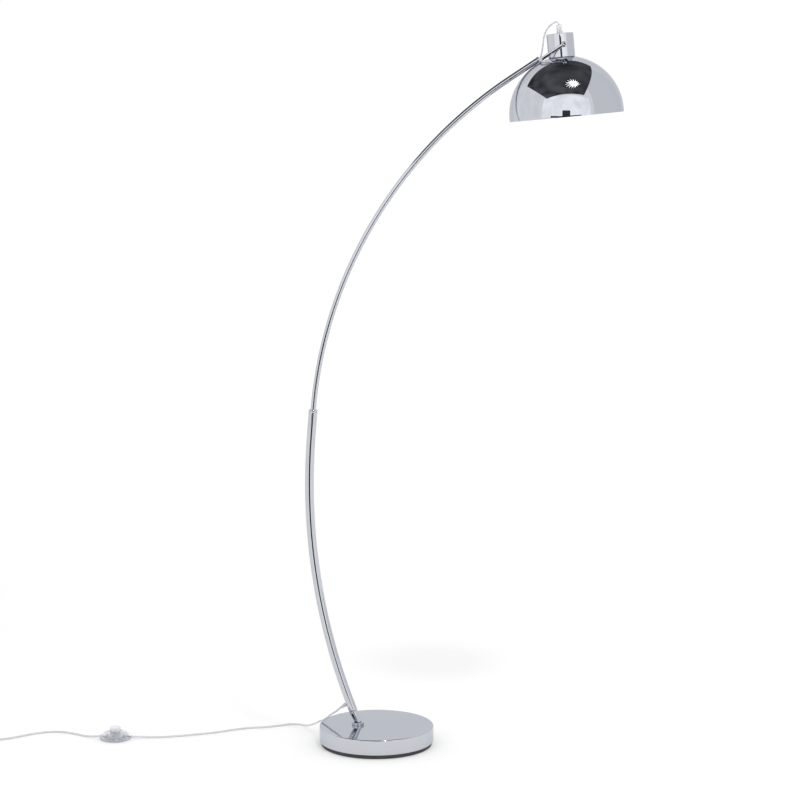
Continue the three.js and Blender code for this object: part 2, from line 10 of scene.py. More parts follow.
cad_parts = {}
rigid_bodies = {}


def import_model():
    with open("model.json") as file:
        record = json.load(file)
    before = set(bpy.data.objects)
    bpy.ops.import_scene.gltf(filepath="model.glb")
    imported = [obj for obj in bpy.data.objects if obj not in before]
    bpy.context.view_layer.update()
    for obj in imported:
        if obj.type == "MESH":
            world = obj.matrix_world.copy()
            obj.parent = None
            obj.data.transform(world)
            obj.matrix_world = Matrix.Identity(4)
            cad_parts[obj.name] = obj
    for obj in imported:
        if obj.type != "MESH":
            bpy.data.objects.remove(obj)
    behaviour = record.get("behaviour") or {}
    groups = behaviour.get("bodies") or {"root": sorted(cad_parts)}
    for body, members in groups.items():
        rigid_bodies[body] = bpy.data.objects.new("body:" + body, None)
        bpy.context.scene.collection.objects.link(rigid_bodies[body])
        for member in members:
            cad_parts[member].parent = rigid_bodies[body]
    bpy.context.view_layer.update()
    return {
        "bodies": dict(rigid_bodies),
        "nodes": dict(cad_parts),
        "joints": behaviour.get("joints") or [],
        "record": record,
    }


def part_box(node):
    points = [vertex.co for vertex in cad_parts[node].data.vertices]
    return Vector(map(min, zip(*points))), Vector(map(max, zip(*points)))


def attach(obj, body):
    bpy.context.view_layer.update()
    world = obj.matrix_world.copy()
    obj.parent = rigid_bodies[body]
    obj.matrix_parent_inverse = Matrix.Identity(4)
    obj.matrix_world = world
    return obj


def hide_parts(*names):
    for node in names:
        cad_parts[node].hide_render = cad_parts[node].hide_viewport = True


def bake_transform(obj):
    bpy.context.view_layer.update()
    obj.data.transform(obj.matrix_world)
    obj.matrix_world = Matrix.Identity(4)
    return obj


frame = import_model()

MM = 0.001
SWITCH_PIECES = []
PLUG_PIECES = []

# ---------- driving sizes, as in the CAD ----------
FOOT_X = -40.8
COLLAR_TOP = 48.3
FOOT_LEAN = math.radians(22.5)
STRETCHES = (
    (1367 * math.radians(27.2), math.radians(27.2)),
    (52, 0),
    (945 * math.radians(51.9), math.radians(51.9)),
    (130, 0),
)
ARM_LENGTH = sum(length for length, _ in STRETCHES)
JOINT_END = STRETCHES[0][0] + STRETCHES[1][0]
TUBE_END = ARM_LENGTH - 64
FORK_DROP = 2.9
TILT = math.radians(5.4)
PIVOT_OFFSET = 6.2
PIVOT_HEIGHT = 150.6
DOME_RADIUS = 121
RIM_DROP = 6.5
SWITCH = Vector((-579, 11, 0))
COIL = Vector((-884, 13.5, 0))
PLUG = Vector((-915.6, 78, 7))
CORD = 2.0
COLLAR_RADIUS = 13.3


# ---------- mesh helpers ----------
def arm_at(distance):
    """(x, z, heading) of the arm's line at a distance from the collar."""
    x, z, heading = FOOT_X, COLLAR_TOP, -FOOT_LEAN
    left = distance
    for length, turn in STRETCHES:
        step = min(left, length)
        turned = turn * step / length
        chord = 2 * length / turn * math.sin(turned / 2) if turned else step
        x += chord * math.sin(heading + turned / 2)
        z += chord * math.cos(heading + turned / 2)
        heading += turned
        left -= step
        if left <= 0:
            break
    if left > 0 or distance < 0:
        extra = left if left > 0 else distance
        x += extra * math.sin(heading)
        z += extra * math.cos(heading)
    return x, z, heading


def arm_frame(distance):
    x, z, heading = arm_at(distance)
    return Matrix.Translation((x, 0, z)) @ Matrix.Rotation(heading, 4, "Y")


def head_frame():
    end = arm_frame(ARM_LENGTH)
    pivot = end @ Vector((FORK_DROP, 0, 0))
    turn = Matrix.Rotation(-TILT, 4, "Y")
    return Matrix.Translation(pivot) @ turn @ Matrix.Translation((-PIVOT_OFFSET, 0, -PIVOT_HEIGHT))


HEAD = head_frame()
END = arm_frame(ARM_LENGTH)


def new_object(name, verts, faces, place=None, smooth=35):
    mesh = bpy.data.meshes.new(name)
    place = place or Matrix.Identity(4)
    mesh.from_pydata([(place @ Vector(v)) * MM for v in verts], [], faces)
    mesh.validate()
    mesh.update()
    mesh.shade_smooth()
    mesh.set_sharp_from_angle(angle=math.radians(smooth))
    obj = bpy.data.objects.new(name, mesh)
    bpy.context.scene.collection.objects.link(obj)
    return obj


def rounded(points, radius, steps=4):
    """The closed outline with each corner rounded, by (x, y) or (x, y, its own radius) points."""
    result = []
    count = len(points)
    for i, point in enumerate(points):
        here = Vector(point[:2])
        size = point[2] if len(point) > 2 else radius
        before = Vector(points[i - 1][:2]) - here
        after = Vector(points[(i + 1) % count][:2]) - here
        angle = before.angle(after, 0) if before.length and after.length else 0
        if size <= 0 or angle < 0.05 or angle > math.pi - 0.05:
            result.append(here)
            continue
        reach = min(size / math.tan(angle / 2), before.length * 0.48, after.length * 0.48)
        a = here + before.normalized() * reach
        b = here + after.normalized() * reach
        for k in range(steps + 1):
            t = k / steps
            result.append(a.lerp(here, t).lerp(here.lerp(b, t), t))
    return result


def lathe(name, outline, segments=64, edge=0.25, place=None, smooth=35, steps=4, shift=None):
    """Turns a closed outline of (radius, height) points about Z; points on the axis stay single."""
    corners = [p if len(p) > 2 else (*p, 0 if p[0] <= 0 else edge) for p in outline]
    points = rounded(corners, edge, steps)
    verts, rings = [], []
    for p in points:
        if p.x < 1e-6:
            rings.append([len(verts)] * segments)
            verts.append((0, 0, p.y))
            continue
        rings.append(list(range(len(verts), len(verts) + segments)))
        for k in range(segments):
            angle = 2 * math.pi * k / segments
            radius = p.x if shift is None else p.x + shift(p.x, p.y, angle)
            verts.append((radius * math.cos(angle), radius * math.sin(angle), p.y))
    faces = []
    for i, ring in enumerate(rings):
        other = rings[(i + 1) % len(rings)]
        if ring[0] == ring[1] and other[0] == other[1]:
            continue
        for k in range(segments):
            n = (k + 1) % segments
            face = [ring[k], ring[n], other[n], other[k]]
            face = list(dict.fromkeys(face))
            if len(face) > 2:
                faces.append(face)
    return outward(new_object(name, verts, faces, place, smooth))


def outward(obj):
    edit = bmesh.new()
    edit.from_mesh(obj.data)
    bmesh.ops.recalc_face_normals(edit, faces=edit.faces)
    edit.to_mesh(obj.data)
    edit.free()
    return obj


def rings_along(points, up=None):
    """Frames (origin, side, other side) that follow a line without twisting."""
    frames = []
    normal = None
    for i, point in enumerate(points):
        ahead = points[min(i + 1, len(points) - 1)] - points[max(i - 1, 0)]
        ahead.normalize()
        if normal is None:
            start = up or (Vector((0, 0, 1)) if abs(ahead.z) < 0.9 else Vector((0, 1, 0)))
            normal = start - ahead * start.dot(ahead)
        else:
            normal = normal - ahead * normal.dot(ahead)
        normal.normalize()
        frames.append((point, normal.copy(), ahead.cross(normal)))
    return frames


def sweep(name, points, section, close_ends=True, smooth=35, up=None):
    """A closed section of (a, b) points swept along a line."""
    verts, faces = [], []
    count = len(section)
    for point, side, other in rings_along(points, up):
        verts += [point + side * a + other * b for a, b in section]
    for i in range(len(points) - 1):
        for k in range(count):
            n = (k + 1) % count
            faces.append((i * count + k, i * count + n, (i + 1) * count + n, (i + 1) * count + k))
    if close_ends:
        faces.append(tuple(range(count)))
        faces.append(tuple((len(points) - 1) * count + k for k in range(count)))
    return outward(new_object(name, verts, faces, smooth=smooth))


def circle(radius, sides):
    return [
        (radius * math.cos(2 * math.pi * k / sides), radius * math.sin(2 * math.pi * k / sides))
        for k in range(sides)
    ]


def hollow_tube(name, points, outer, inner, sides, edge=0.4):
    """An open tube along a line, with rounded ends."""
    frames = rings_along(points, Vector((0, 1, 0)))
    first, last = frames[0], frames[-1]
    inward = (points[1] - points[0]).normalized()
    outbound = (points[-1] - points[-2]).normalized()
    lip = edge * 0.3
    middle = (inner + outer) / 2
    start = [(inner, edge), (inner + lip, lip), (middle, 0), (outer - lip, lip), (outer, edge)]
    loops = [(first, radius, inward * depth) for radius, depth in start]
    loops += [(frame, outer, Vector()) for frame in frames[1:-1]]
    loops += [(last, radius, -outbound * depth) for radius, depth in reversed(start)]
    loops += [(frame, inner, Vector()) for frame in reversed(frames[1:-1])]
    verts, faces = [], []
    for (point, side, other), radius, offset in loops:
        for a, b in circle(radius, sides):
            verts.append(point + offset + side * a + other * b)
    for i in range(len(loops)):
        j = (i + 1) % len(loops)
        for k in range(sides):
            n = (k + 1) % sides
            faces.append((i * sides + k, i * sides + n, j * sides + n, j * sides + k))
    return outward(new_object(name, verts, faces, smooth=40))


def spline(points, step):
    """Points every step or less along a smooth line through the given ones."""
    control = [Vector(p) for p in points]
    control = [control[0] * 2 - control[1]] + control + [control[-1] * 2 - control[-2]]
    fine = []
    for i in range(1, len(control) - 2):
        p0, p1, p2, p3 = control[i - 1 : i + 3]
        t1 = (p1 - p0).length ** 0.5
        t2 = t1 + (p2 - p1).length ** 0.5
        t3 = t2 + (p3 - p2).length ** 0.5
        pieces = max(2, int((p2 - p1).length / step * 4))
        for k in range(pieces):
            t = t1 + (t2 - t1) * k / pieces
            a1 = p0 * ((t1 - t) / t1) + p1 * (t / t1)
            a2 = p1 * ((t2 - t) / (t2 - t1)) + p2 * ((t - t1) / (t2 - t1))
            a3 = p2 * ((t3 - t) / (t3 - t2)) + p3 * ((t - t2) / (t3 - t2))
            b1 = a1 * ((t2 - t) / t2) + a2 * (t / t2)
            b2 = a2 * ((t3 - t) / (t3 - t1)) + a3 * ((t - t1) / (t3 - t1))
            fine.append(b1 * ((t2 - t) / (t2 - t1)) + b2 * ((t - t1) / (t2 - t1)))
    fine.append(control[-2])
    return resample(fine, step)


def resample(points, step):
    total = line_length(points)
    count = max(2, round(total / step))
    result = [points[0]]
    walked, target, i = 0.0, total / count, 0
    while len(result) < count and i < len(points) - 1:
        span = (points[i + 1] - points[i]).length
        if walked + span >= target:
            result.append(points[i].lerp(points[i + 1], (target - walked) / span))
            target += total / count
        else:
            walked += span
            i += 1
    result.append(points[-1])
    return result


def line_length(points):
    return sum((b - a).length for a, b in zip(points, points[1:]))


def merge(name, *objs):
    """One object from several, each keeping its materials."""
    bpy.ops.object.select_all(action="DESELECT")
    for obj in objs:
        obj.select_set(True)
    bpy.context.view_layer.objects.active = objs[0]
    bpy.ops.object.join()
    objs[0].name = name
    return objs[0]


def prism(name, outline, low, high, edge=0.3, place=None, segments=3, smooth=35):
    """A flat outline raised between two heights, with all its edges rounded."""
    edit = bmesh.new()
    bottom = [edit.verts.new((p[0], p[1], low)) for p in outline]
    face = edit.faces.new(bottom)
    raised = bmesh.ops.extrude_face_region(edit, geom=[face])
    bmesh.ops.translate(
        edit,
        vec=(0, 0, high - low),
        verts=[v for v in raised["geom"] if isinstance(v, bmesh.types.BMVert)],
    )
    if edge > 0:
        paired = [e for e in edit.edges if len(e.link_faces) == 2]
        sharp = [e for e in paired if e.calc_face_angle() > math.radians(40)]
        bmesh.ops.bevel(edit, geom=sharp, offset=edge, segments=segments, profile=0.5, affect="EDGES")
    bmesh.ops.recalc_face_normals(edit, faces=edit.faces)
    mesh = bpy.data.meshes.new(name)
    edit.to_mesh(mesh)
    edit.free()
    place = place or Matrix.Identity(4)
    mesh.transform(place)
    mesh.transform(Matrix.Scale(MM, 4))
    mesh.shade_smooth()
    mesh.set_sharp_from_angle(angle=math.radians(smooth))
    obj = bpy.data.objects.new(name, mesh)
    bpy.context.scene.collection.objects.link(obj)
    return obj


def rectangle(half_x, half_y, y=0):
    """Corners of a rectangle that is centred at (0, y)."""
    return [(-half_x, y - half_y), (half_x, y - half_y), (half_x, y + half_y), (-half_x, y + half_y)]


def hexagon(radius):
    return circle(radius, 6)


def thread(radius, low, high, pitch, depth):
    """Outline points of a round thread, going up."""
    turns = max(1, round((high - low) / pitch))
    points = []
    for i in range(turns * 6 + 1):
        height = low + (high - low) * i / (turns * 6)
        points.append((radius - depth * (0.5 - 0.5 * math.cos(2 * math.pi * i / 6)), height, 0))
    return points


def facing(direction, origin=(0, 0, 0)):
    """A frame at origin whose +Z points in a direction."""
    turn = Vector(direction).to_track_quat("Z", "Y").to_matrix().to_4x4()
    return Matrix.Translation(Vector(origin)) @ turn


# ---------- materials ----------
class Nodes:
    """A material whose colour, roughness and relief come from noise."""

    def __init__(self, name, color, roughness, metallic=0.0):
        self.material = bpy.data.materials.new(name)
        self.material.use_nodes = True
        self.tree = self.material.node_tree
        self.shader = self.tree.nodes["Principled BSDF"]
        self.color = color
        self.set("Base Color", (*color, 1))
        self.set("Roughness", roughness)
        self.set("Metallic", metallic)

    def set(self, socket, value):
        self.shader.inputs[socket].default_value = value
        return self

    def noise(self, scale, detail=4, stretch=(1, 1, 1)):
        place = self.tree.nodes.new("ShaderNodeTexCoord")
        mapping = self.tree.nodes.new("ShaderNodeMapping")
        mapping.inputs["Scale"].default_value = stretch
        texture = self.tree.nodes.new("ShaderNodeTexNoise")
        texture.inputs["Scale"].default_value = scale
        texture.inputs["Detail"].default_value = detail
        self.tree.links.new(place.outputs["Object"], mapping.inputs["Vector"])
        self.tree.links.new(mapping.outputs["Vector"], texture.inputs["Vector"])
        return texture.outputs["Fac"]

    def remap(self, fac, low, high):
        node = self.tree.nodes.new("ShaderNodeMapRange")
        node.inputs["From Min"].default_value = 0.3
        node.inputs["From Max"].default_value = 0.7
        node.inputs["To Min"].default_value = low
        node.inputs["To Max"].default_value = high
        self.tree.links.new(fac, node.inputs["Value"])
        return node.outputs["Result"]

    def vary_roughness(self, low, high, scale, stretch=(1, 1, 1)):
        level = self.remap(self.noise(scale, 3, stretch), low, high)
        self.tree.links.new(level, self.shader.inputs["Roughness"])
        return self

    def vary_color(self, amount, scale, stretch=(1, 1, 1)):
        mix = self.tree.nodes.new("ShaderNodeMix")
        mix.data_type = "RGBA"
        mix.inputs[6].default_value = (*[c * (1 - amount) for c in self.color], 1)
        mix.inputs[7].default_value = (*[min(1, c * (1 + amount)) for c in self.color], 1)
        self.tree.links.new(self.remap(self.noise(scale, 4, stretch), 0, 1), mix.inputs[0])
        self.tree.links.new(mix.outputs[2], self.shader.inputs["Base Color"])
        return self

    def relief(self, strength, depth_mm, scale, stretch=(1, 1, 1), detail=4):
        bump = self.tree.nodes.new("ShaderNodeBump")
        bump.inputs["Strength"].default_value = strength
        bump.inputs["Distance"].default_value = depth_mm * MM
        self.tree.links.new(self.noise(scale, detail, stretch), bump.inputs["Height"])
        self.tree.links.new(bump.outputs["Normal"], self.shader.inputs["Normal"])
        return self


CHROME = (
    Nodes("chrome", (0.565, 0.58, 0.62), 0.02, 1)
    .set("Specular Tint", (0.8, 0.81, 0.84, 1))
    .vary_roughness(0.012, 0.035, 9)
    .vary_color(0.006, 14)
    .material
)
STEEL = (
    Nodes("zinc_steel", (0.56, 0.57, 0.58), 0.3, 1)
    .vary_roughness(0.22, 0.4, 300)
    .vary_color(0.05, 160)
    .material
)
TURNED_STEEL = (
    Nodes("turned_steel", (0.62, 0.62, 0.63), 0.25, 1)
    .vary_roughness(0.16, 0.34, 90, (1, 1, 12))
    .vary_color(0.03, 120)
    .material
)
IRON = (
    Nodes("cast_iron", (0.05, 0.05, 0.053), 0.6, 0.2)
    .vary_color(0.2, 120)
    .relief(0.7, 0.3, 260)
    .material
)
RUBBER = (
    Nodes("pad_rubber", (0.03, 0.031, 0.034), 0.62)
    .vary_roughness(0.5, 0.72, 110)
    .vary_color(0.12, 60)
    .relief(0.35, 0.12, 700)
    .material
)
BRASS = (
    Nodes("brass", (0.78, 0.55, 0.24), 0.22, 1)
    .vary_roughness(0.16, 0.3, 200)
    .vary_color(0.05, 90)
    .material
)
WHITE_PLASTIC = (
    Nodes("white_plastic", (0.78, 0.78, 0.76), 0.36)
    .vary_roughness(0.3, 0.42, 160)
    .vary_color(0.015, 40)
    .relief(0.12, 0.05, 900)
    .material
)
CLEAR_PLASTIC = (
    Nodes("clear_plastic", (0.9, 0.91, 0.94), 0.12)
    .set("Transmission Weight", 0.88)
    .set("IOR", 1.25)
    .vary_roughness(0.05, 0.12, 130)
    .material
)
SHEATH = (
    Nodes("cord_sheath", (0.6, 0.605, 0.64), 0.3)
    .set("IOR", 1.45)
    .vary_roughness(0.24, 0.38, 240)
    .vary_color(0.04, 90)
    .material
)
FROSTED = (
    Nodes("frosted_glass", (0.93, 0.93, 0.91), 0.24)
    .set("Transmission Weight", 0.25)
    .set("Subsurface Weight", 0.3)
    .set("Subsurface Scale", 0.004)
    .vary_roughness(0.2, 0.3, 200)
    .vary_color(0.01, 30)
    .material
)
CONTACT_GREY = (
    Nodes("sleeve_plastic", (0.3, 0.3, 0.31), 0.4)
    .vary_roughness(0.34, 0.5, 200)
    .vary_color(0.04, 90)
    .material
)
GLAND_PLASTIC = (
    Nodes("gland_plastic", (0.62, 0.625, 0.65), 0.35)
    .set("Transmission Weight", 0.15)
    .vary_roughness(0.28, 0.42, 200)
    .vary_color(0.05, 90)
    .material
)
GRIP_PLASTIC = (
    Nodes("grip_plastic", (0.8, 0.81, 0.85), 0.2)
    .set("Transmission Weight", 0.12)
    .set("IOR", 1.4)
    .vary_roughness(0.12, 0.26, 160)
    .vary_color(0.03, 60)
    .material
)


def paint(obj, material):
    obj.data.materials.clear()
    obj.data.materials.append(material)
    return obj


def piece(obj, material, body="stand", nodes=(), ride=True, on=None):
    """The object is done: it takes its material, stands for the CAD nodes and moves with the body.

    on is the list of what is carried by the same lead.
    """
    obj.name = obj.data.name = (nodes[0] if nodes else obj.name) + "_skin"
    if on is not None:
        on.append(obj)
    if material is not None:
        paint(obj, material)
    if nodes:
        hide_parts(*nodes)
    if ride:
        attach(obj, body)
    return obj


# ---------- camera ----------
def build_camera():
    data = bpy.data.cameras.new("camera")
    data.lens = 100.12
    data.sensor_width = 36
    data.clip_end = 100
    camera = bpy.data.objects.new("camera", data)
    bpy.context.scene.collection.objects.link(camera)
    pitch = math.radians(7.419)
    ahead = Vector((-0.04362 * math.cos(pitch), 0.99905 * math.cos(pitch), -math.sin(pitch)))
    camera.location = Vector((258.7, -4743.2, 1379.0)) * MM
    camera.rotation_euler = ahead.to_track_quat("-Z", "Y").to_euler()
    bpy.context.scene.camera = camera


# ---------- lead ----------
GLAND_ROOT = Vector((-66.2, 0, 88))
GLAND_AHEAD = Vector((-0.76, 0.3, -0.575)).normalized()
GLAND_OUTSIDE = 16


def tube_cord(name, points, sides=20, radius=CORD):
    return sweep(name, points, circle(radius, sides), smooth=60)


def coil_points():
    """The wound part: in along the outside of the lower layer, out along the upper one."""
    turns, per_turn = 7.25, 40
    points = []
    for i in range(int(turns * per_turn) + 1):
        u = i / per_turn
        angle = -math.pi / 2 - 2 * math.pi * u
        radius = 16.2 + 4.1 * abs(3.5 - u)
        rise = min(1, max(0, (u - 3.35) / 0.5))
        height = 3.05 + 4.05 * rise * rise * (3 - 2 * rise)
        points.append(COIL + Vector((radius * math.cos(angle), radius * math.sin(angle), height)))
    return points


def build_lead():
    gland_at = facing(GLAND_AHEAD, GLAND_ROOT)
    gland = lathe(
        "cord_gland",
        [(0, -5), (3, -5), (3, 2.6), (4.4, 3.2), (4.4, 4.6), (3.5, 5.6), (3.4, 7.2), (3.05, 7.5),
         (3.05, 8.3), (3.3, 8.6), (3.2, 10), (2.8, 10.3), (2.8, 11.1), (3.0, 11.4), (2.9, 12.8),
         (2.55, 13.1), (2.55, 13.9), (2.7, 14.2), (2.45, GLAND_OUTSIDE), (0, GLAND_OUTSIDE)],
        48,
        0.2,
        gland_at,
    )
    piece(gland, GLAND_PLASTIC, nodes=("cord_gland",))

    out = [GLAND_ROOT + GLAND_AHEAD * d for d in (GLAND_OUTSIDE - 0.5, GLAND_OUTSIDE + 4)]
    near = spline(
        [*out, (-90, 9.6, 68.6), (-100, 12.8, 61.2), (-110.5, 15, 52.4), (-118.5, 16.4, 46.6),
         (-125.5, 22, 42.8), (-131.5, 36, 36), (-139.6, 60, 26.4), (-149, 86, 16.4), (-158, 109, 8),
         (-167, 125, 3.3), (-176, 134, 2.1),
         (-187, 137.5, 2.1), (-204, 136.5, 2.1), (-221, 127, 2.1), (-240, 117.5, 2.1), (-265, 110, 2.1),
         (-293, 102.5, 2.1), (-326, 86.5, 2.1), (-359, 66, 2.1), (-393, 50, 2.1), (-427, 37, 2.1),
         (-452, 28, 2.1), (-477, 21.5, 2.1), (-501, 19, 2.3), (-522, 16.5, 3.2), (-533, 12.4, 4.6),
         (SWITCH.x + 41.5, 11, 5), (SWITCH.x + 37.6, 11, 5)],
        3.0,
    )
    lead = tube_cord("power_cord_near", near)
    piece(lead, SHEATH, nodes=("power_cord_near",))

    to_coil = spline(
        [(SWITCH.x - 37.6, 11, 5), (SWITCH.x - 41.5, 11, 5), (-629, 13, 4), (-640, 18, 2.8),
         (-653, 25, 2.1), (-671, 36, 2.1), (-689, 46, 2.1), (-706, 52, 2.1), (-723, 53, 2.1),
         (-741, 48.5, 2.1), (-758, 40.5, 2.1),
         (-775, 29, 2.1), (-790, 15.5, 2.1), (-804, 3.5, 2.1), (-818, -6.5, 2.1), (-833, -13, 2.3),
         (-849, -16.2, 2.7), (-866, -17.0, 3.0), COIL + Vector((0, -30.55, 3.05))],
        3.0,
    )
    coil = coil_points()
    tail = spline(
        [coil[-1], (PLUG.x, COIL.y + 8, 7.05), (PLUG.x, COIL.y + 17, 7), (PLUG.x, PLUG.y - 36, 7)],
        3.0,
    )
    far = to_coil[:-1] + coil + tail[1:]
    lead = tube_cord("power_cord_far", far)
    piece(lead, SHEATH, nodes=("power_cord_far", "cord_coil", "power_cord_tail"))


# ---------- foot switch ----------
def build_switch():
    place = Matrix.Translation(SWITCH)
    base = lathe(
        "switch_base",
        [(0, 0), (32.2, 0), (32.5, 1.2), (32.5, 3), (30.2, 3), (30.2, 1.8), (0, 1.8)],
        96, 0.3, place,
    )
    ribs = [
        prism(f"rib{i}", rectangle(26, 0.5), 1.6, 3, 0.1,
              place @ Matrix.Rotation(math.radians(45 + 90 * i), 4, "Z"))
        for i in range(2)
    ]
    base = merge("switch_base", base, *ribs)
    piece(base, CLEAR_PLASTIC, nodes=("switch_base",), on=SWITCH_PIECES)

    wall = 1.5
    outer = [(34.5, 0.8, 0.3), (34.5, 5.2, 2)]
    outer += [(31.9, 9.4, 3), (26.2, 13.3, 4), (19, 16.5, 4), (13.4, 18.1, 1.2), (12.7, 18.4, 0.2)]
    inner = [(11.6, 18.4, 0.2), (11.6, 16.8, 0.2), (18.4, 14.9, 3), (25.4, 11.8, 3)]
    inner += [(30.6, 8.3, 3), (34.5 - wall, 4.7, 2), (34.5 - wall, 0.8, 0.3)]
    cover = lathe("switch_cover", outer + inner, 128, 0.2, place, smooth=50)
    bosses = []
    for side in (1, -1):
        boss_at = place @ facing((side, 0, 0), (0, 0, 5))
        outline = [(2.1, 33.2), (3.5, 33.2), (3.5, 36.2), (3.1, 37.4), (2.1, 37.4)]
        bosses.append(lathe("boss", outline, 32, 0.25, boss_at))
    cover = merge("switch_cover", cover, *bosses)
    piece(cover, CLEAR_PLASTIC, nodes=("switch_cover",), on=SWITCH_PIECES)

    button = lathe(
        "switch_button",
        [(9.6, 12), (11.2, 12), (11.2, 23.4), (12.2, 24, 0.2), (12.2, 25.9, 0.9), (11.2, 26.75, 0.8),
         (6, 26.9, 2), (0, 26.9), (0, 21.6), (9.6, 21.6)],
        96, 0.25, place,
    )
    piece(button, GRIP_PLASTIC, "switch_button", ("switch_button",), on=SWITCH_PIECES)

    outline = [(0, 3.3), (8.6, 3.3), (8.6, 10.2), (2.6, 10.2), (2.6, 15), (0, 15)]
    core = lathe("core", outline, 48, 0.3, place)
    cheeks = [
        prism("cheek", rectangle(4, 9.5), 3.1, 6.2, 0.4, place @ Matrix.Translation((x, 0, 0)))
        for x in (-11, 11)
    ]
    core = merge("switch_core", core, *cheeks)
    piece(core, WHITE_PLASTIC, nodes=("switch_core",), on=SWITCH_PIECES)

    turns = 5
    helix = [
        Vector((4.6 * math.cos(a), 4.6 * math.sin(a), 11 + 10 * a / (2 * math.pi * turns)))
        for a in (2 * math.pi * turns * i / 160 for i in range(161))
    ]
    spring = sweep("switch_spring", [p + SWITCH for p in helix], circle(0.4, 12), smooth=60)
    piece(spring, STEEL, nodes=("switch_spring",), ride=False, on=SWITCH_PIECES)
    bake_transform(spring)

    for where, side in (("right", 1), ("left", -1)):
        at = place @ Matrix.Translation((side * 19, 0, 0))
        terminal = prism("terminal", rectangle(5.5, 3.5), 3.3, 6.7, 0.4, at)
        piece(terminal, STEEL, nodes=(f"switch_terminal_{where}",), on=SWITCH_PIECES)
        outline = [(0, 7), (2, 7), (2, 8.1), (1.4, 8.6), (0.5, 8.6), (0.5, 7.7), (0, 7.7)]
        screw = lathe("screw", outline, 24, 0.15, at)
        piece(screw, STEEL, nodes=(f"terminal_screw_{where}",), on=SWITCH_PIECES)
        routes = [
            spline([(side * 33, y * 0.3, 5), (side * 29, y * 0.6, 5), (side * 25, y, 5.2)], 0.8)
            for y in (-1.6, 1.6)
        ]
        lines = [tube_cord("wire", route, 10, 0.7) for route in routes]
        wires = merge(f"switch_wires_{where}", *lines)
        wires.data.transform(Matrix.Translation(SWITCH * MM))
        piece(wires, CONTACT_GREY, on=SWITCH_PIECES)
    for where, side in (("back", 1), ("front", -1)):
        at = place @ Matrix.Translation((0, side * 23, 0))
        head = [(0, 0.4), (0.7, 0.4), (0.7, 1.2), (1, 1.2), (1, 0.4), (2, 0.4), (2, 2)]
        shank = [*thread(1.7, 2.2, 10.6, 1.1, 0.3), (0, 11)]
        screw = lathe("screw", head + shank, 24, 0.1, at)
        piece(screw, STEEL, nodes=(f"switch_screw_{where}",), on=SWITCH_PIECES)
        outline = [(2.2, 3.2), (3.3, 3.2), (3.1, 12.6), (2.2, 12.6)]
        post = lathe(f"switch_post_{where}", outline, 32, 0.2, at)
        piece(post, CLEAR_PLASTIC, on=SWITCH_PIECES)


# ---------- plug ----------
def build_plug():
    place = Matrix.Translation(PLUG)
    corners = [(-17.5, 18, 3), (-17.5, 2, 6), (-4.6, -18, 3), (4.6, -18, 3), (17.5, 2, 6), (17.5, 18, 3)]
    outline = rounded(corners, 3, 6)
    body = prism("plug_body", outline, -6.8, 6.8, 2.2, place, 5, 40)
    grooves = []
    for i in range(14):
        distance = i * 1.5
        ripple = 0.25 if i % 2 else -0.15
        grooves.append((2.5 + 0.075 * distance + ripple, distance, 0.1))
    relief_at = place @ Matrix.Translation((0, -38, 0)) @ Matrix.Rotation(-math.pi / 2, 4, "X")
    relief = lathe("relief", [(0, 0), *grooves, (4, 21), (0, 21)], 40, 0.2, relief_at)
    grips = [
        prism("grip", rectangle(9, 0.5, y), side * 6.6 - 0.35, side * 6.6 + 0.35, 0.15, place)
        for y in (2, 5, 8, 11) for side in (1, -1)
    ]
    body = merge("plug_body", body, relief, *grips)
    fit_inside(body, "plug_body")
    piece(body, WHITE_PLASTIC, nodes=("plug_body",), on=PLUG_PIECES)
    for where, x in (("left", -9.5), ("right", 9.5)):
        at = place @ Matrix.Translation((x, 0, 0)) @ Matrix.Rotation(-math.pi / 2, 4, "X")
        pin = lathe("pin", [(0, 12.3), (2, 12.3), (2, 36), (1.1, 37), (0, 37)], 32, 0.3, at)
        sleeve = lathe("sleeve", [(0, 16), (2.02, 16), (2.02, 27.5), (0, 27.5)], 32, 0.05, at)
        paint(pin, STEEL)
        paint(sleeve, CONTACT_GREY)
        pin = merge(f"plug_pin_{where}", pin, sleeve)
        piece(pin, None, nodes=(f"plug_pin_{where}",), on=PLUG_PIECES)


def fit_inside(obj, node):
    """Keeps a piece's small relief within the CAD node's box."""
    low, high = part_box(node)
    for v in obj.data.vertices:
        v.co = [min(max(v.co[i], low[i]), high[i]) for i in range(3)]


def build_tie():
    angle = math.radians(35)
    ahead = Vector((math.cos(angle), math.sin(angle), 0))
    top = 10.1
    outline = rounded([(12.9, 0.15, 1.6), (34.8, 0.15, 1.6), (34.8, top, 2.2), (12.9, top, 2.2)], 2, 6)
    line = [COIL + ahead * p.x + Vector((0, 0, p.y)) for p in outline]
    line += [line[0]]
    up = Vector((-ahead.y, ahead.x, 0)).cross(Vector((0, 0, 1)))
    section = [(p.x, p.y) for p in rounded(rectangle(0.3, 2.4), 0.2, 3)]
    band = sweep("cord_tie", line, section, close_ends=False, up=up)
    fit_inside(band, "cord_tie")
    piece(band, WHITE_PLASTIC, nodes=("cord_tie",), on=PLUG_PIECES)


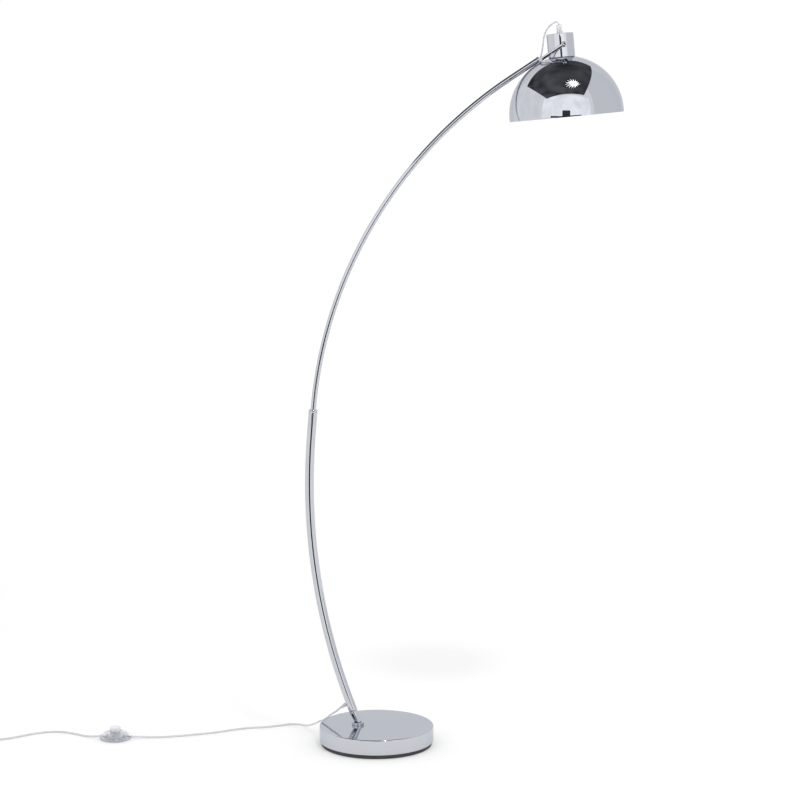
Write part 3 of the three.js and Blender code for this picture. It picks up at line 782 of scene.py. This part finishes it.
# ---------- base ----------
def build_base():
    pad = lathe(
        "base_pad",
        [(17, 0), (112, 0), (112, 0.8), (114, 0.8), (114, 0), (121, 0), (121, 9), (17, 9)],
        192, 0.6,
    )
    hole_to_foot(pad, 17)
    piece(pad, RUBBER, nodes=("base_pad",))

    weight = lathe(
        "base_weight",
        [(0, 9.3), (123.3, 9.3), (123.3, 31.2), (20, 31.2), (20, 40.4), (0, 40.4)],
        128, 1.0,
    )
    hole_to_foot(weight, 20)
    piece(weight, IRON, nodes=("base_weight",))

    cover = lathe(
        "base_cover",
        [(0, 40.8), (122.6, 40.8, 1.8), (123.8, 39.2, 1.5), (123.8, 9, 0.2), (125, 9, 0.35),
         (125, 42, 3), (0, 42)],
        256, 0.3, steps=10, smooth=50,
    )
    piece(cover, CHROME, nodes=("base_cover",))

    foot = Matrix.Translation((FOOT_X, 0, 0))
    washer = lathe("foot_washer", [(4.6, 7), (14, 7), (14, 9), (4.6, 9)], 64, 0.3, foot)
    piece(washer, STEEL, nodes=("foot_washer",))
    head = prism("foot_bolt", hexagon(7), 1.3, 6.7, 0.4, foot)
    outline = [(0, 6), (4, 6), *thread(4, 8, 45.6, 1.25, 0.35), (3.2, 46.1), (0, 46.1)]
    shank = lathe("shank", outline, 40, 0.1, foot)
    bolt = merge("foot_bolt", head, shank)
    piece(bolt, STEEL, nodes=("foot_bolt",))
    collar = lathe(
        "foot_collar",
        [(4.3, 42.3), (COLLAR_RADIUS, 42.3), (COLLAR_RADIUS, COLLAR_TOP, 0.9), (0, COLLAR_TOP),
         (0, COLLAR_TOP - 1.5), (4.3, COLLAR_TOP - 1.5)],
        96, 0.2, foot, steps=6,
    )
    piece(collar, CHROME, nodes=("foot_collar",))


def hole_to_foot(obj, reach):
    """Moves the inner ring of a disc turned about the origin so that it stands about the foot."""
    for v in obj.data.vertices:
        distance = math.hypot(v.co.x, v.co.y) / MM
        if distance <= reach + 1:
            v.co.x += FOOT_X * MM


# ---------- arm ----------
def arm_line(start, end, step):
    count = max(2, round((end - start) / step))
    spots = [start + (end - start) * i / count for i in range(count + 1)]
    return [Vector((x, 0, z)) for x, z, _ in map(arm_at, spots)]


def build_arm():
    ferrule = lathe(
        "foot_ferrule",
        [(0, -6), (7.8, -6), (7.8, 0.5, 3), (9.4, 25.5, 4), (9.5, 27, 0.3), (8.3, 27), (3.4, 12), (0, 12)],
        96, 0.3, arm_frame(0), smooth=40,
    )
    floor = (COLLAR_TOP + 0.3) * MM
    ahead = Vector((-math.sin(FOOT_LEAN), 0, math.cos(FOOT_LEAN)))
    for v in ferrule.data.vertices:
        if v.co.z < floor:
            v.co += ahead * ((floor - v.co.z) / ahead.z)
    piece(ferrule, CHROME, nodes=("foot_ferrule",))

    lower = hollow_tube("lower_arm", arm_line(27.3, JOINT_END, 5), 9.5, 8.3, 64)
    piece(lower, CHROME, nodes=("lower_arm",))
    upper = hollow_tube("upper_arm", arm_line(JOINT_END - 46, TUBE_END, 5), 6, 4.8, 48)
    piece(upper, CHROME, nodes=("upper_arm",))
    outline = [(6.3, -40), (8, -40), (8, 0.3), (9.7, 0.3), (9.7, 3.4, 0.7), (6.3, 3.4)]
    bush = lathe("joint_bush", outline, 64, 0.2, arm_frame(JOINT_END))
    piece(bush, CHROME, nodes=("joint_bush",))
    inside = sweep("arm_cord", arm_line(60, ARM_LENGTH - 70.3, 12), circle(1.7, 12), smooth=60)
    piece(inside, SHEATH, nodes=("arm_cord",))


def crowned(half_width, half_thick, drop):
    """A bar's section whose broad faces bulge a little."""
    spots = [half_width * (i / 8 - 1) for i in range(17)]
    face = []
    for a in spots:
        corner = 0.25 if abs(a) == half_width else 0
        face.append((a * 0.985, half_thick - drop * (a / half_width) ** 2 - corner))
    return face + [(a, -b) for a, b in reversed(face)]


def build_fork():
    """Frame at the arm's end: +Z along the arm, +X under it."""
    crotch, span, thick, width = -63.7, 33.5, 3.0, 7.4
    middle, reach = span - thick / 2, crotch + thick / 2
    corner = 12 - thick / 2
    line = [(0, -middle, -1.5)]
    line += [(0, -middle, reach + corner)]
    for i in range(1, 13):
        a = math.pi + i / 12 * math.pi / 2
        line.append((0, -middle + corner + corner * math.cos(a), reach + corner + corner * math.sin(a)))
    for i in range(0, 13):
        a = 1.5 * math.pi + i / 12 * math.pi / 2
        line.append((0, middle - corner + corner * math.cos(a), reach + corner + corner * math.sin(a)))
    line.append((0, middle, -1.5))
    points = [END @ (Vector(p) + Vector((FORK_DROP, 0, 0))) for p in line]
    under = END.to_3x3() @ Vector((1, 0, 0))
    strip = sweep("strip", points, crowned(width / 2, thick / 2, 0.45), up=under, smooth=60)
    parts = [strip]
    for side in (1, -1):
        at = END @ facing((0, side, 0), (FORK_DROP, side * (span - thick), 0))
        parts.append(lathe("eye", [(2.3, 0), (5.4, 0), (5.4, thick), (2.3, thick)], 64, 0.5, at))
    outline = [(4.7, crotch), (6.5, crotch), (6.5, crotch + thick), (4.7, crotch + thick)]
    parts.append(lathe("seat", outline, 64, 0.4, END))
    fork = merge("shade_fork", *parts)
    piece(fork, CHROME, nodes=("shade_fork",))

    plate = crotch + thick
    bush = lathe(
        "arm_end_bush",
        [(2.5, -84), (4.4, -84), (4.4, plate + 0.3), (6.4, plate + 0.3), (6.4, plate + 1.8, 0.6),
         (5.6, plate + 2.4), (2.5, plate + 2.4)],
        48, 0.25, END,
    )
    piece(bush, STEEL, nodes=("arm_end_bush",))
    for where, side in (("front", -1), ("back", 1)):
        at = END @ facing((0, side, 0), (FORK_DROP, 0, 0))
        seat = span + 0.3
        screw = lathe(
            "screw",
            [(0, 20.6), (1.6, 20.6), *thread(2, 21, 27, 0.7, 0.2), (2, 27.4), (2, seat), (5.8, seat),
             (5.8, seat + 1.9, 0.3), (5.2, seat + 3.0, 0.8), (3.6, seat + 3.4, 0.4),
             (2.2, seat + 3.4, 0.2), (2.2, seat + 1.6, 0.1), (0, seat + 1.6)],
            64, 0.15, at,
        )
        piece(screw, CHROME, nodes=(f"pivot_screw_{where}",))
        washer = lathe("washer", [(2.3, 28.8), (5, 28.8), (5, 30.2), (2.3, 30.2)], 48, 0.25, at)
        piece(washer, STEEL, nodes=(f"pivot_washer_{where}",))


# ---------- shade head ----------
def dome_height(size, radius):
    return RIM_DROP + math.sqrt(size * size - radius * radius)


def arc_points(size, low, high, steps):
    """Points (radius, height, corner 0) of the dome's section between two elevation angles."""
    points = []
    for i in range(steps + 1):
        a = low + (high - low) * i / steps
        points.append((size * math.cos(a), RIM_DROP + size * math.sin(a), 0))
    return points


def build_shade():
    inside = DOME_RADIUS - 1
    hole = 20.6
    low_out, low_in = (-math.asin(RIM_DROP / r) for r in (DOME_RADIUS, inside))
    high_out, high_in = (math.acos(hole / r) for r in (DOME_RADIUS, inside))
    outer = arc_points(DOME_RADIUS, low_out, high_out, 56)
    inner = arc_points(inside, high_in, low_in, 56)
    outer[0] = (*outer[0][:2], 0.35)
    inner[-1] = (*inner[-1][:2], 0.35)
    dome = lathe("shade_dome", outer + inner, 256, 0.2, HEAD, smooth=50)
    piece(dome, CHROME, "shade_head", ("shade_dome",))

    bore, radius, top = 27.0, 28.5, 174.2
    bottom = dome_height(DOME_RADIUS + 0.3, bore) + 0.2
    neck = lathe(
        "shade_neck",
        [(bore, bottom), (radius, bottom), (radius, top, 0.9), (4.4, top, 0.3), (4.4, top - 1.5, 0.1),
         (bore, top - 1.5, 0.2)],
        192, 0.25, HEAD, steps=8, smooth=50,
    )
    piece(neck, CHROME, "shade_head", ("shade_neck",))
    for where, side in (("front", -1), ("back", 1)):
        at = HEAD @ facing((0, side, 0), (PIVOT_OFFSET, 0, PIVOT_HEIGHT))
        nut = prism("nut", hexagon(4.4), 21.4, 24.4, 0.35, at)
        piece(nut, STEEL, "shade_head", (f"pivot_nut_{where}",))


def build_holder():
    flange = dome_height(DOME_RADIUS, 20.6) + 0.3
    holder = lathe(
        "holder_body",
        [(4.4, 156), (4.4, 136), (14.3, 134), (14.3, 96, 0.4), (17.2, 96, 0.4), (17.2, 112), (19.4, 114),
         *thread(19.8, 115, flange - 1, 2.0, 0.5), (19.8, flange), (24, flange, 0.4),
         (24, flange + 2.5, 0.4),
         (19, flange + 3.5, 0.4), (18, 142, 2), (9, 156, 1)],
        96, 0.2, HEAD,
    )
    piece(holder, WHITE_PLASTIC, "shade_head", ("holder_body",))

    top = dome_height(DOME_RADIUS - 1, 26) - 0.3

    def teeth(radius, height, angle):
        return -0.45 * (0.5 - 0.5 * math.cos(48 * angle)) if radius > 25 and height < top - 1.2 else 0

    ring = lathe(
        "holder_ring",
        [(20.1, top - 7), (25.6, top - 7), (25.8, top - 6), (25.8, top - 1.4), (26, top - 1), (26, top),
         (20.1, top)],
        384, 0.2, HEAD, shift=teeth,
    )
    piece(ring, WHITE_PLASTIC, "shade_head", ("holder_ring",))
    shell = lathe("holder_shell", [(13.3, 100), (14, 100), (14, 124), (13.3, 124)], 64, 0.15, HEAD)
    piece(shell, BRASS, "shade_head", ("holder_shell",))
    contact = prism("holder_contact", rectangle(5, 2), 130.4, 131.6, 0.3, HEAD)
    piece(contact, BRASS, "shade_head", ("holder_contact",))
    outline = [(2.7, 152.5), (3.7, 152.5), *thread(4, 153, 183.4, 1.0, 0.3), (3.7, 184), (2.7, 184)]
    nipple = lathe("holder_nipple", outline, 48, 0.1, HEAD)
    piece(nipple, STEEL, "shade_head", ("holder_nipple",))
    nut = prism("holder_nut", hexagon(8.5), 167.5, 172.4, 0.4, HEAD)
    piece(nut, STEEL, "shade_head", ("holder_nut",))
    cap = lathe(
        "bulb_cap",
        [(0, 100), (12.8, 100), (12.8, 102), *thread(12.8, 103, 120.4, 3.6, 1.0), (12.4, 122),
         (6.4, 126, 1), (4.6, 126.4, 0.4), (3.4, 129.6, 0.6), (0, 130)],
        96, 0.3, HEAD,
    )
    piece(cap, TURNED_STEEL, "shade_head", ("bulb_cap",))
    spans = [math.radians(-90 + 140 * i / 48) for i in range(49)]
    ball = [(22.4 * math.cos(a), 65 + 22.4 * math.sin(a), 0) for a in spans]
    ball[0] = (0, 42.6, 0)
    outline = [*ball, (12.4, 88, 3), (11.6, 93, 2), (11.5, 99.6, 0.4), (0, 99.6)]
    bulb = lathe("bulb_glass", outline, 128, 0.3, HEAD, smooth=50)
    piece(bulb, FROSTED, "shade_head", ("bulb_glass",))

    low = 174.5
    grip = lathe(
        "cord_grip",
        [(4.3, low), (6, low, 0.4), (6, low + 17.2, 0.8), (5.3, low + 18, 0.5), (4.6, low + 18, 0.3),
         (2.2, low + 11, 0.5), (4.3, low + 10.4, 0.2)],
        64, 0.3, HEAD, steps=6,
    )
    piece(grip, GRIP_PLASTIC, "shade_head", ("cord_grip",))
    at = HEAD @ facing((1, 0, 0), (0, 0, low + 3.5))
    outline = [(0, 4.4), (1.2, 4.4), (1.2, 7, 0.2), (0.4, 7, 0.1), (0.4, 6.2, 0.05), (0, 6.2)]
    screw = lathe("grip_screw", outline, 24, 0.08, at)
    piece(screw, STEEL, "shade_head", ("grip_screw",))


def build_head_cord():
    inside = [arm_frame(ARM_LENGTH - back).translation for back in (70, 64, 59.5)]
    line = spline(
        [*inside, (347.4, 0, 1490.4), (349.6, 0, 1498), (351.4, 0, 1509), (352.8, 0, 1521),
         (354.6, 0, 1533.5), (359, 0, 1545), (366.4, 0, 1554.6), (374.4, 0, 1561), (381, 0, 1562.8),
         (384.7, 0, 1559.4), (385.5, 0, 1555), (385.9, 0, 1551.6)],
        1.5,
    )
    cord = sweep("head_cord", line, circle(1.7, 20), smooth=60)
    piece(cord, SHEATH, nodes=("head_cord",), ride=False)
    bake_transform(cord)


# ---------- light and floor ----------
def emission(name, color, strength, vary):
    """A glow of that strength, cloudier by vary from place to place."""
    material = bpy.data.materials.new(name)
    material.use_nodes = True
    tree = material.node_tree
    tree.nodes.clear()
    out = tree.nodes.new("ShaderNodeOutputMaterial")
    light = tree.nodes.new("ShaderNodeEmission")
    light.inputs["Color"].default_value = (*color, 1)
    light.inputs["Strength"].default_value = strength
    if vary:
        place = tree.nodes.new("ShaderNodeTexCoord")
        clouds = tree.nodes.new("ShaderNodeTexNoise")
        clouds.inputs["Scale"].default_value = 0.35
        clouds.inputs["Detail"].default_value = 2
        level = tree.nodes.new("ShaderNodeMapRange")
        level.inputs["From Min"].default_value = 0.35
        level.inputs["From Max"].default_value = 0.65
        level.inputs["To Min"].default_value = strength - vary
        level.inputs["To Max"].default_value = strength + vary
        tree.links.new(place.outputs["Object"], clouds.inputs["Vector"])
        tree.links.new(clouds.outputs["Fac"], level.inputs["Value"])
        tree.links.new(level.outputs["Result"], light.inputs["Strength"])
    tree.links.new(light.outputs["Emission"], out.inputs["Surface"])
    return material


def slab(x, y, z, width, height):
    """Corners of an upright card that faces along Y."""
    return [(x + a * width / 2, y, z + b * height / 2) for a, b in ((-1, -1), (1, -1), (1, 1), (-1, 1))]


def card(name, corners, color, level, vary=0):
    """A flat studio card that only mirrors see. level is its brightness."""
    mesh = bpy.data.meshes.new(name)
    mesh.from_pydata(corners, [], [tuple(range(len(corners)))])
    obj = bpy.data.objects.new(name, mesh)
    bpy.context.scene.collection.objects.link(obj)
    mesh.materials.append(emission(name, color, level, vary))
    obj.visible_camera = False
    obj.visible_diffuse = False
    obj.visible_shadow = False
    obj.visible_transmission = False
    obj.visible_volume_scatter = False
    return obj


def glow_with_distance(nodes, near, far):
    """Keeps the floor as pale far away, where the key light is weaker, as it is under the lamp."""
    tree = nodes.tree
    place = tree.nodes.new("ShaderNodeTexCoord")
    reach = tree.nodes.new("ShaderNodeVectorMath")
    reach.operation = "LENGTH"
    level = tree.nodes.new("ShaderNodeMapRange")
    level.inputs["From Min"].default_value = 1.5
    level.inputs["From Max"].default_value = 7
    level.inputs["To Min"].default_value = near
    level.inputs["To Max"].default_value = far
    tree.links.new(place.outputs["Object"], reach.inputs[0])
    tree.links.new(reach.outputs["Value"], level.inputs["Value"])
    tree.links.new(level.outputs["Result"], nodes.shader.inputs["Emission Strength"])
    nodes.set("Emission Color", (1, 1, 1, 1))


KEY_X, KEY_Y = 1.215, -2.0


def build_studio():
    """A white room. Its cards are what the chrome mirrors: dark above, bright in front, grey around."""
    scene = bpy.context.scene
    scene.view_settings.view_transform = "Standard"
    world = bpy.data.worlds.new("studio")
    scene.world = world
    world.use_nodes = True
    back = world.node_tree.nodes["Background"]
    back.inputs["Color"].default_value = (1, 1, 1, 1)
    back.inputs["Strength"].default_value = 1.02

    mesh = bpy.data.meshes.new("floor")
    mesh.from_pydata([(-40, -40, 0), (40, -40, 0), (40, 40, 0), (-40, 40, 0)], [], [(0, 1, 2, 3)])
    floor = bpy.data.objects.new("floor", mesh)
    scene.collection.objects.link(floor)
    floor.location.z = -0.0005
    pale = Nodes("floor_paint", (0.66, 0.66, 0.66), 0.9).set("Specular IOR Level", 0.0)
    pale.vary_color(0.002, 0.5)
    glow_with_distance(pale, 0.27, 0.36)
    mesh.materials.append(pale.material)

    lamp = bpy.data.lights.new("key", "AREA")
    lamp.shape = "DISK"
    lamp.size = 0.4
    lamp.energy = 42
    key = bpy.data.objects.new("key", lamp)
    scene.collection.objects.link(key)
    key.location = (KEY_X, KEY_Y, 5.125)
    key.rotation_euler = (key.location - Vector((0.2, 0.3, 0.2))).to_track_quat("Z", "Y").to_euler()

    above = 5.6
    ceiling = [(-5.74, 3.07), (-5.39, -5.72), (4.24, -4.82), (2.63, 3.91)]
    rays = [(0.34, 0.34, 1.0, 0.34)[i % 4] * (1 + 0.25 * math.sin(i * 1.7)) for i in range(64)]
    star = [(r * math.cos(math.pi * i / 32), r * math.sin(math.pi * i / 32)) for i, r in enumerate(rays)]
    glint = [(KEY_X + x, KEY_Y + y, 5.12) for x, y in star]
    strip = [(0.0, -0.6), (0.3, -0.6), (2.2, -5.4), (-1.9, -5.4)]
    glare = [(-0.25, -0.6), (0.55, -0.6), (3.4, -5.8), (-3.1, -5.8)]
    side = [(-6, 0.05), (9.5, 0.05), (9.5, 40), (-6, 40)]
    cards = [
        card("dark_ceiling", [(x, y, above) for x, y in ceiling], (1, 1, 1.08), 0.075, 0.04),
        card("glint", glint, (1, 1, 1), 6),
        card("dark_camera", slab(0.2, -5.5, 1.45, 1.5, 1.1), (1, 1, 1.05), 0.05),
        card("dark_low", slab(0.15, -5.6, 0.45, 6.8, 0.9), (1, 1, 1.05), 0.02),
        card("dark_floor", [(x, y, 0.001) for x, y in strip], (1, 1, 1.05), 0.05),
        card("white_near", slab(0.15, -6.0, 1.7, 6.4, 1.5), (1, 1, 1), 1.32, 0.1),
        card("white_front", slab(-0.2, -6.4, 3.1, 15, 6.2), (1, 1.005, 1.02), 1.24, 0.12),
        card("white_low", slab(0.15, -5.9, 0.5, 8.0, 0.9), (1, 1, 1), 1.3),
        card("white_floor", [(x, y, 0.0005) for x, y in glare], (1, 1, 1), 1.35),
        card("grey_back", slab(0, 9.5, 20, 19, 40), (0.98, 0.99, 1), 0.93),
        card("grey_left", [(-9, y, z) for y, z in side], (0.98, 0.99, 1), 1.01, 0.05),
        card("grey_right", [(9, y, z) for y, z in side], (0.97, 0.98, 1), 0.87),
    ]


build_camera()
build_switch()
build_plug()
build_tie()
build_lead()
build_base()
build_arm()
build_fork()
build_shade()
build_holder()
build_head_cord()
build_studio()
